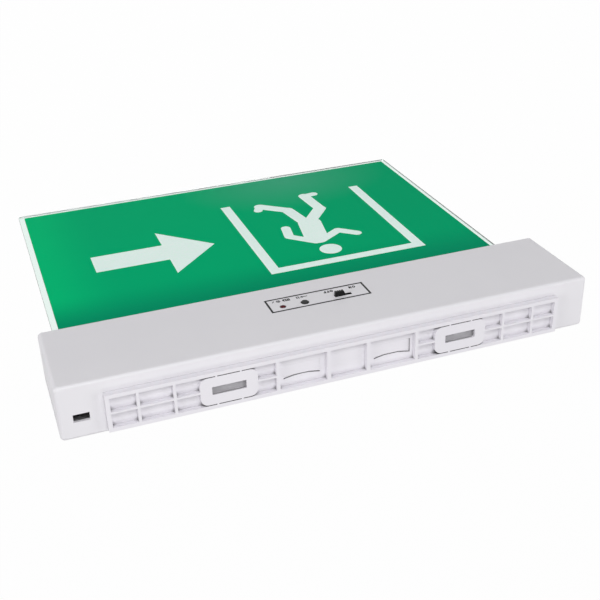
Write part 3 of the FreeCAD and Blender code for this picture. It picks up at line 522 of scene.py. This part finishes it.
# Painted light: lit towards +X, painted shade towards -X and under the housing, and a painted reflection
# low on the sheet; only the mottle below is the film's own tone.
colour = blend_colours(tree, share_of(tree, across, 60.0, -165.0), FILM_MIDDLE, FILM_SHADE_AND_MOTTLE)
colour = blend_colours(tree, share_of(tree, across, 110.0, 165.0), colour, FILM_LIT)
colour = blend_colours(tree, share_of(tree, up, -150.0, -100.0), colour, FILM_DEEP_SHADE)
colour = blend_colours(tree, soft_patch(tree, *REFLECTION_PATCH), colour, FILM_REFLECTION)
mottle = arithmetic(tree, "MULTIPLY", noise(tree, MOTTLE, 3.0), MOTTLE_SHARE)
colour = blend_colours(tree, mottle, colour, FILM_SHADE_AND_MOTTLE)
tree.links.new(colour, shader.inputs["Base Color"])
spread(tree, noise(tree, 180.0, 4.0), 0.26, 0.34, shader.inputs["Roughness"])
bump(tree, shader, noise(tree, 900.0, 2.0), 0.12, 0.00001)
dress(["front_legend", "rear_legend"], film_green)
print("film dressed")

# %% [markdown]
# ## Drawing print
# Print is a thin layer of ink. Each mark is drawn as flat cells in the X-Z plane, in millimetres as a
# person facing the front sees them, welded and raised a few hundredths of a millimetre. Marks that
# overlap get slightly different heights, so that no two faces lie in one plane.

# %% Print helpers
INK, INK_STEP = 0.03, 0.003      # height of the first mark, and how much each later one adds
WELD = 0.000001


def bar(x0, x1, z0, z1):
    return [(x0, z0), (x1, z0), (x1, z1), (x0, z1)]


def stroke(a, b, width, rounding=10):
    """A thick line from a to b with round ends."""
    turn = math.atan2(b[1] - a[1], b[0] - a[0])
    radius = width / 2
    outline = []
    for centre, start in ((b, turn - math.pi / 2), (a, turn + math.pi / 2)):
        for k in range(rounding + 1):
            angle = start + math.pi * k / rounding
            outline.append((centre[0] + radius * math.cos(angle), centre[1] + radius * math.sin(angle)))
    return outline


def oval(x, z, a, b, count=40):
    return [(x + a * math.cos(2 * math.pi * k / count), z + b * math.sin(2 * math.pi * k / count))
            for k in range(count)]


def between(outer, inner):
    """The band between two outlines that have as many points as each other."""
    count = len(outer)
    return [[outer[k], outer[(k + 1) % count], inner[(k + 1) % count], inner[k]] for k in range(count)]


def box_line(x0, x1, z0, z1, line):
    return between(bar(x0, x1, z0, z1), bar(x0 + line, x1 - line, z0 + line, z1 - line))


def printed(name, marks, face, side, material):
    """Raises marks, each a list of cells, from the surface at Y = face, in mm, that looks towards side."""
    mesh = bpy.data.meshes.new(name)
    whole = bmesh.new()
    for level, cells in enumerate(marks):
        one = bmesh.new()
        for cell in cells:
            one.faces.new([one.verts.new((x * MM, face * MM, z * MM)) for x, z in cell])
        bmesh.ops.remove_doubles(one, verts=one.verts, dist=WELD)
        raised = bmesh.ops.extrude_face_region(one, geom=one.faces[:])["geom"]
        lift = Vector((0, side * (INK + INK_STEP * level) * MM, 0))
        bmesh.ops.translate(one, verts=[v for v in raised if isinstance(v, bmesh.types.BMVert)], vec=lift)
        bmesh.ops.recalc_face_normals(one, faces=one.faces)
        part = bpy.data.meshes.new("part")
        one.to_mesh(part)
        whole.from_mesh(part)
        one.free()
        bpy.data.meshes.remove(part)
    whole.to_mesh(mesh)
    whole.free()
    item = bpy.data.objects.new(name, mesh)
    bpy.context.collection.objects.link(item)
    mesh.materials.append(material)
    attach(item, "root")
    print(name, len(mesh.polygons), "faces")
    return item


def ink(name, colour, roughness, **sockets):
    material, tree, shader = new_material(name, colour, roughness, Specular_IOR_Level=0.2, **sockets)
    tint(tree, noise(tree, 700.0, 4.0), tuple(c * 0.9 for c in colour), colour, shader.inputs["Base Color"])
    bump(tree, shader, noise(tree, 3000.0, 2.0), 0.2, 0.000004)
    return material


black_ink = ink("black_pad_print", (0.006, 0.006, 0.007), 0.5)
# The white print's faint green emission is painted light: it makes the print glow, though it is no lamp.
white_ink = ink("white_screen_print", (0.92, 0.96, 0.94), 0.4,
                Emission_Color=(0.25, 1.0, 0.75, 1), Emission_Strength=0.13)
print("print helpers ready")

# %% [markdown]
# ## The sign's pictogram
# A walking figure passes a doorway, and a bold arrow points to it. It is drawn from a few strokes in
# plain proportions and stands in the middle of the film, in white. The rear film carries the same sign,
# turned so that it reads the same way from behind.

# %% Pictogram
FIGURE_X = -52.0
SIGN_TOP, SIGN_FOOT = -124.0, -258.0


def figure(x, z, size):
    """A person walking towards -X, about 134 times size tall; x and z are the place of the hips."""
    def at(dx, dz):
        return x + dx * size, z + dz * size

    limbs = [
        (at(0, 4), at(6, 38), 21),
        (at(4, 44), at(-17, 30), 8.5), (at(-17, 30), at(-30, 42), 8.5),
        (at(9, 44), at(27, 26), 8.5), (at(27, 26), at(24, 8), 8.5),
        (at(-3, 0), at(-20, -22), 11.5), (at(-20, -22), at(-17, -56), 10.5),
        (at(-17, -56), at(-27, -57), 8),
        (at(4, 0), at(9, -30), 11.5), (at(9, -30), at(30, -48), 10.5), (at(30, -48), at(34, -40), 8),
    ]
    head = [oval(*at(3, 63), 9.5 * size, 9.5 * size)]
    return [head] + [[stroke(a, b, width * size)] for a, b, width in limbs]


def doorway(x0, x1, line):
    """An open doorway: two posts and a lintel."""
    return [[bar(x0, x0 + line, SIGN_FOOT, SIGN_TOP)], [bar(x1 - line, x1, SIGN_FOOT, SIGN_TOP)],
            [bar(x0 + line, x1 - line, SIGN_TOP - line, SIGN_TOP)]]


def arrow(x0, x1, z, shaft, head):
    """An arrow from x1 to its point at x0."""
    return [[bar(x0 + head, x1, z - shaft / 2, z + shaft / 2)],
            [[(x0, z), (x0 + head + 0.5, z - head), (x0 + head + 0.5, z + head)]]]


pictogram = doorway(-118.0, 6.0, 8.0) + figure(FIGURE_X, -204.0, 0.9)
pictogram += arrow(30.0, 124.0, -192.0, 27.0, 38.0)
film_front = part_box("front_legend")[0].y / MM
film_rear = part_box("rear_legend")[1].y / MM
printed("front_pictogram", pictogram, film_front, -1, white_ink)
behind = [[[(-x, z) for x, z in cell] for cell in cells] for cells in pictogram]
printed("rear_pictogram", behind, film_rear, 1, white_ink)

# %% [markdown]
# ## The panel's print
# The controls stand in a thin black box. Under the slide switch are its two states, ON and OFF, built
# from bars and bands. Under the indicator is a row of plain symbols, a cell, a lamp and a mains bolt,
# and under the button an arrow that points at two bars.

# %% Panel print
PANEL = (-35.8, 33.6, -57.4, -39.7)
LINE = 1.35
MARK_Z, MARK_H, PEN = -54.65, 2.8, 0.72


def letter_o(x, w):
    middle = (x + w / 2, MARK_Z + MARK_H / 2)
    rim, bore = (w / 2, MARK_H / 2), (w / 2 - PEN, MARK_H / 2 - PEN)
    return [between(oval(*middle, *rim, 28), oval(*middle, *bore, 28))]


def letter_n(x, w):
    top = MARK_Z + MARK_H
    slope = [(x, top), (x + PEN * 1.2, top), (x + w, MARK_Z), (x + w - PEN * 1.2, MARK_Z)]
    return [[bar(x, x + PEN, MARK_Z, top)], [bar(x + w - PEN, x + w, MARK_Z, top)], [slope]]


def letter_f(x, w):
    top = MARK_Z + MARK_H
    middle = MARK_Z + MARK_H * 0.5
    return [[bar(x, x + PEN, MARK_Z, top)], [bar(x + PEN, x + w, top - PEN, top)],
            [bar(x + PEN, x + w * 0.85, middle - PEN / 2, middle + PEN / 2)]]


def cell_symbol(x):
    z = MARK_Z + MARK_H / 2
    return [box_line(x, x + 4.6, MARK_Z, MARK_Z + MARK_H, PEN), [bar(x + 4.6, x + 5.1, z - 0.55, z + 0.55)],
            [bar(x + 1.0, x + 1.7, MARK_Z + 0.9, MARK_Z + MARK_H - 0.9)],
            [bar(x + 2.3, x + 3.0, MARK_Z + 0.9, MARK_Z + MARK_H - 0.9)]]


def lamp_symbol(x):
    z, r = MARK_Z + MARK_H / 2, MARK_H / 2
    k = (r - 0.2) * math.sqrt(0.5)
    return [between(oval(x, z, r, r), oval(x, z, r - 0.4, r - 0.4)),
            [stroke((x - k, z - k), (x + k, z + k), 0.35)], [stroke((x - k, z + k), (x + k, z - k), 0.35)]]


def bolt_symbol(x):
    z = MARK_Z
    return [[[(x, z), (x + 1.5, z + 1.35), (x + 0.75, z + 1.35)]],
            [[(x + 1.9, z + 2.5), (x + 0.35, z + 1.15), (x + 1.1, z + 1.15)]]]


def press_symbol(x):
    z = MARK_Z + MARK_H / 2
    return [[bar(x, x + 3.4, z - 0.3, z + 0.3)], [[(x + 5.2, z), (x + 3.3, z + 1.05), (x + 3.3, z - 1.05)]],
            [bar(x + 5.7, x + 6.3, MARK_Z, MARK_Z + MARK_H)],
            [bar(x + 7.0, x + 7.6, MARK_Z, MARK_Z + MARK_H)]]


panel_marks = [box_line(*PANEL, LINE)]
panel_marks += letter_o(-29.4, 2.2) + letter_n(-26.7, 2.0)
panel_marks += letter_o(-13.4, 2.2) + letter_f(-10.7, 1.7) + letter_f(-8.5, 1.7)
panel_marks += cell_symbol(17.0) + lamp_symbol(25.0) + bolt_symbol(27.6) + press_symbol(4.8)
printed("panel_print", panel_marks, front, -1, black_ink)

# %% [markdown]
# ## Turned pieces
# The indicator and the cover's screws are bodies of revolution. A profile of radius and distance is
# swung round an axis; the screws then lose a tapered cross from their heads. Both stand in the place of
# the frame's plainer versions.

# %% Turned pieces
def turned(bm, profile, origin, axis, across, count=40):
    """Swings (radius, distance) points, in mm, round an axis. The first and last radius are 0."""
    other = axis.cross(across)
    rings = []
    for radius, along in profile:
        centre = origin + axis * (along * MM)
        if radius == 0:
            rings.append([bm.verts.new(centre)])
            continue
        angles = [2 * math.pi * k / count for k in range(count)]
        rings.append([bm.verts.new(centre + (across * math.cos(t) + other * math.sin(t)) * (radius * MM))
                      for t in angles])
    for low, high in zip(rings, rings[1:]):
        for k in range(count):
            ends = [low[k % len(low)], low[(k + 1) % len(low)],
                    high[(k + 1) % len(high)], high[k % len(high)]]
            bm.faces.new(list(dict.fromkeys(ends)))


def piece(name, bm, material, smooth=True):
    bmesh.ops.recalc_face_normals(bm, faces=bm.faces)
    mesh = bpy.data.meshes.new(name)
    bm.to_mesh(mesh)
    bm.free()
    if smooth:
        mesh.shade_smooth()
        mesh.set_sharp_from_angle(angle=math.radians(35))
    item = bpy.data.objects.new(name, mesh)
    bpy.context.collection.objects.link(item)
    mesh.materials.append(material)
    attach(item, "root")
    return item


print("turning helpers ready")

# %% [markdown]
# ## Small parts
# Everything else gets the finish it has on a bench: plated screws, solder mask, black acetal, a red
# lens.

# %% Small parts
def plain_finish(name, colour, roughness, dark=0.85, scale=400.0, relief=0.00001, **sockets):
    material, tree, shader = new_material(name, colour, roughness, **sockets)
    darker = tuple(c * dark for c in colour)
    tint(tree, noise(tree, scale / 6, 3.0), darker, colour, shader.inputs["Base Color"])
    smooth, rough = roughness * 0.85, min(1, roughness * 1.2)
    spread(tree, noise(tree, scale / 2, 3.0), smooth, rough, shader.inputs["Roughness"])
    bump(tree, shader, noise(tree, scale * 5, 2.0), 0.3, relief)
    return material


steel = plain_finish("zinc_plated_steel", (0.62, 0.62, 0.63), 0.3, Metallic=1.0)
board_green = plain_finish("board_green_mask", (0.01, 0.10, 0.045), 0.35, Coat_Weight=0.5)
board_white = plain_finish("board_white_mask", (0.78, 0.79, 0.78), 0.4)
black_plastic = plain_finish("black_acetal", (0.005, 0.005, 0.0055), 0.42, Specular_IOR_Level=0.25)
red_lens = plain_finish("red_lens", (0.075, 0.001, 0.006), 0.2, Specular_IOR_Level=0.2)
lead_red = plain_finish("lead_insulation", (0.42, 0.02, 0.015), 0.4)
sleeve_blue = plain_finish("shrink_sleeve", (0.02, 0.07, 0.25), 0.25)
acetal_natural = plain_finish("natural_acetal", (0.72, 0.71, 0.66), 0.4)
ferrite = plain_finish("ferrite_grey", (0.03, 0.03, 0.033), 0.55)
can_black = plain_finish("capacitor_sleeve", (0.02, 0.02, 0.03), 0.3)
box_yellow = plain_finish("film_capacitor_case", (0.5, 0.3, 0.02), 0.35)
fuse_glass = plain_finish("fuse_glass_tube", (0.85, 0.9, 0.9), 0.06, Transmission_Weight=0.9)
terminal_blue = plain_finish("terminal_blue", (0.01, 0.06, 0.2), 0.35)
led_cream = plain_finish("led_package", (0.75, 0.66, 0.25), 0.35)

FINISHES = {
    "cover_screws": steel, "holder_screws": steel, "plate_screws": steel, "control_screws": steel,
    "driver_screws": steel, "terminal_screws": steel,
    "control_board": board_green, "driver_board": board_green,
    "led_board": board_white, "leds": led_cream, "power_lamp": red_lens,
    "test_button": black_plastic, "switch_knob": black_plastic,
    "test_switch": black_plastic, "power_switch": black_plastic, "battery_pack": sleeve_blue,
    "battery_clip_left": acetal_natural, "battery_clip_right": acetal_natural, "transformer": ferrite,
    "choke": ferrite, "storage_capacitors": can_black, "suppression_capacitor": box_yellow,
    "fuse": fuse_glass, "terminal_block": terminal_blue, "battery_lead": lead_red, "lamp_lead": lead_red,
    "control_lead": lead_red,
}
for name, finish in FINISHES.items():
    dress([name], finish)
print("small parts dressed", len(FINISHES))

# %% [markdown]
# ## Indicator and cover screws
# The indicator gets a true dome with a flange and two legs. The four countersunk screws under the cover
# get a chamfered rim, a cross recess and a run of thread ridges, which only a view from below shows.

# %% Indicator
lamp_at = Vector(((lamp_low.x + lamp_high.x) / 2, lamp_low.y, (lamp_low.z + lamp_high.z) / 2))
LAMP_R, FLANGE_R, LEG, LEG_APART = 1.95, 2.35, 0.25, 1.27
DOME_HEIGHT, DOME_STEPS = 1.5, 9
lamp_length = (lamp_high.y - lamp_low.y) / MM

quarter = [math.pi / 2 * k / DOME_STEPS for k in range(DOME_STEPS + 1)]
dome = [(LAMP_R * math.sin(t), DOME_HEIGHT * (1 - math.cos(t))) for t in quarter]
flange = [(FLANGE_R - 0.1, 4.3), (FLANGE_R, 4.4), (FLANGE_R, 5.2), (FLANGE_R - 0.1, 5.3), (0, 5.3)]
profile = dome + [(LAMP_R, 4.25)] + flange
bm = bmesh.new()
turned(bm, profile, lamp_at, Vector((0, 1, 0)), Vector((1, 0, 0)))
for side in (-1, 1):
    leg = [(0, 5.25), (LEG, 5.25), (LEG, lamp_length), (0, lamp_length)]
    leg_at = lamp_at + Vector((side * LEG_APART * MM, 0, 0))
    turned(bm, leg, leg_at, Vector((0, 1, 0)), Vector((1, 0, 0)), 12)
lamp = piece("indicator", bm, red_lens)
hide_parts("power_lamp")
print("indicator", len(lamp.data.polygons), "faces,", round(lamp_length, 1), "mm long")

# %% Cover screws
HEAD_R, SHANK_R, SCREW_LENGTH = 2.7, 1.15, 11.0
screws_low, screws_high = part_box("cover_screws")
screw_x = screws_high.x - HEAD_R * MM
screw_y = screws_high.y - HEAD_R * MM
UP = Vector((0, 0, 1))


def ridged_shank(start, end, pitch=0.9):
    """Thread shown as ridges that stay inside the shank's radius."""
    ridges = []
    along = start
    while along + pitch < end:
        ridges += [(SHANK_R, along + pitch * 0.2), (SHANK_R * 0.84, along + pitch * 0.6)]
        along += pitch
    return ridges


def cross_cutter(bm, place):
    """Two crossed wedges that narrow as they go in."""
    for along, across in ((Vector((1, 0, 0)), Vector((0, 1, 0))), (Vector((0, 1, 0)), Vector((-1, 0, 0)))):
        corners = []
        for depth, half, thick in ((-0.3, 1.65, 0.42), (1.45, 0.45, 0.3)):
            for a, b in ((-half, -thick), (half, -thick), (half, thick), (-half, thick)):
                corners.append(bm.verts.new(place + (along * a + across * b + UP * depth) * MM))
        for face in ((0, 1, 2, 3), (4, 5, 6, 7), (0, 1, 5, 4), (1, 2, 6, 5), (2, 3, 7, 6), (3, 0, 4, 7)):
            bm.faces.new([corners[k] for k in face])


def recessed(item, cutter):
    """Cuts the cutter out of the item's mesh for good, and removes the cutter."""
    tool = item.modifiers.new("recess", "BOOLEAN")
    tool.object = cutter
    tool.operation = "DIFFERENCE"
    tool.solver = "EXACT"
    tool.use_self = True
    bpy.context.view_layer.update()
    done = bpy.data.meshes.new_from_object(item.evaluated_get(bpy.context.evaluated_depsgraph_get()))
    item.modifiers.remove(tool)
    item.data = done
    bpy.data.objects.remove(cutter)


screw_mesh, wedge_mesh = bmesh.new(), bmesh.new()
taper = [(0, 0.0), (HEAD_R - 0.25, 0.0), (HEAD_R - 0.02, 0.12), (HEAD_R, 0.25), (SHANK_R, HEAD_R - SHANK_R)]
point = [(0.5, SCREW_LENGTH - 0.1), (0, SCREW_LENGTH)]
profile = taper + ridged_shank(HEAD_R - SHANK_R + 0.3, SCREW_LENGTH - 1.2) + point
for sx in (-1, 1):
    for sy in (-1, 1):
        place = Vector((sx * screw_x, sy * screw_y, screws_low.z))
        turned(screw_mesh, profile, place, UP, Vector((1, 0, 0)), 36)
        cross_cutter(wedge_mesh, place)
bmesh.ops.recalc_face_normals(wedge_mesh, faces=wedge_mesh.faces)
wedge_data = bpy.data.meshes.new("wedges")
wedge_mesh.to_mesh(wedge_data)
wedge_mesh.free()
wedges = bpy.data.objects.new("wedges", wedge_data)
bpy.context.collection.objects.link(wedges)
cover_fixings = piece("recessed_cover_screws", screw_mesh, steel, smooth=False)
recessed(cover_fixings, wedges)
cover_fixings.data.shade_smooth()
cover_fixings.data.set_sharp_from_angle(angle=math.radians(30))
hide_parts("cover_screws")
print("cover screws", len(cover_fixings.data.polygons), "faces")

# %% [markdown]
# ## Softened edges
# Nothing moulded has a knife edge. The frame's meshes are welded, their flat areas are dissolved back
# to whole faces, and a narrow bevel runs along each sharp edge, all as modifiers, so the frame's own
# mesh stays as it is. Weighted normals then keep the flats flat and let only the bevels turn.

# %% Softened edges
def soften(name, width, segments=2):
    item = nodes[name]
    weld = item.modifiers.new("weld", "WELD")
    weld.merge_threshold = 0.000004
    flats = item.modifiers.new("whole_faces", "DECIMATE")
    flats.decimate_type = "DISSOLVE"
    flats.angle_limit = math.radians(0.5)
    edge = item.modifiers.new("edge", "BEVEL")
    edge.width = width
    edge.segments = segments
    edge.limit_method = "ANGLE"
    edge.angle_limit = math.radians(40)
    edge.use_clamp_overlap = True
    normals = item.modifiers.new("normals", "WEIGHTED_NORMAL")
    normals.weight = 60
    normals.keep_sharp = False


SOFTENED = {"housing": 0.3, "mounting_bracket": 0.22, "bottom_cover": 0.2, "switch_knob": 0.15,
            "test_button": 0.12, "sign_plate": 0.12}
for name, width in SOFTENED.items():
    soften(name, width * MM)
print("edges softened")
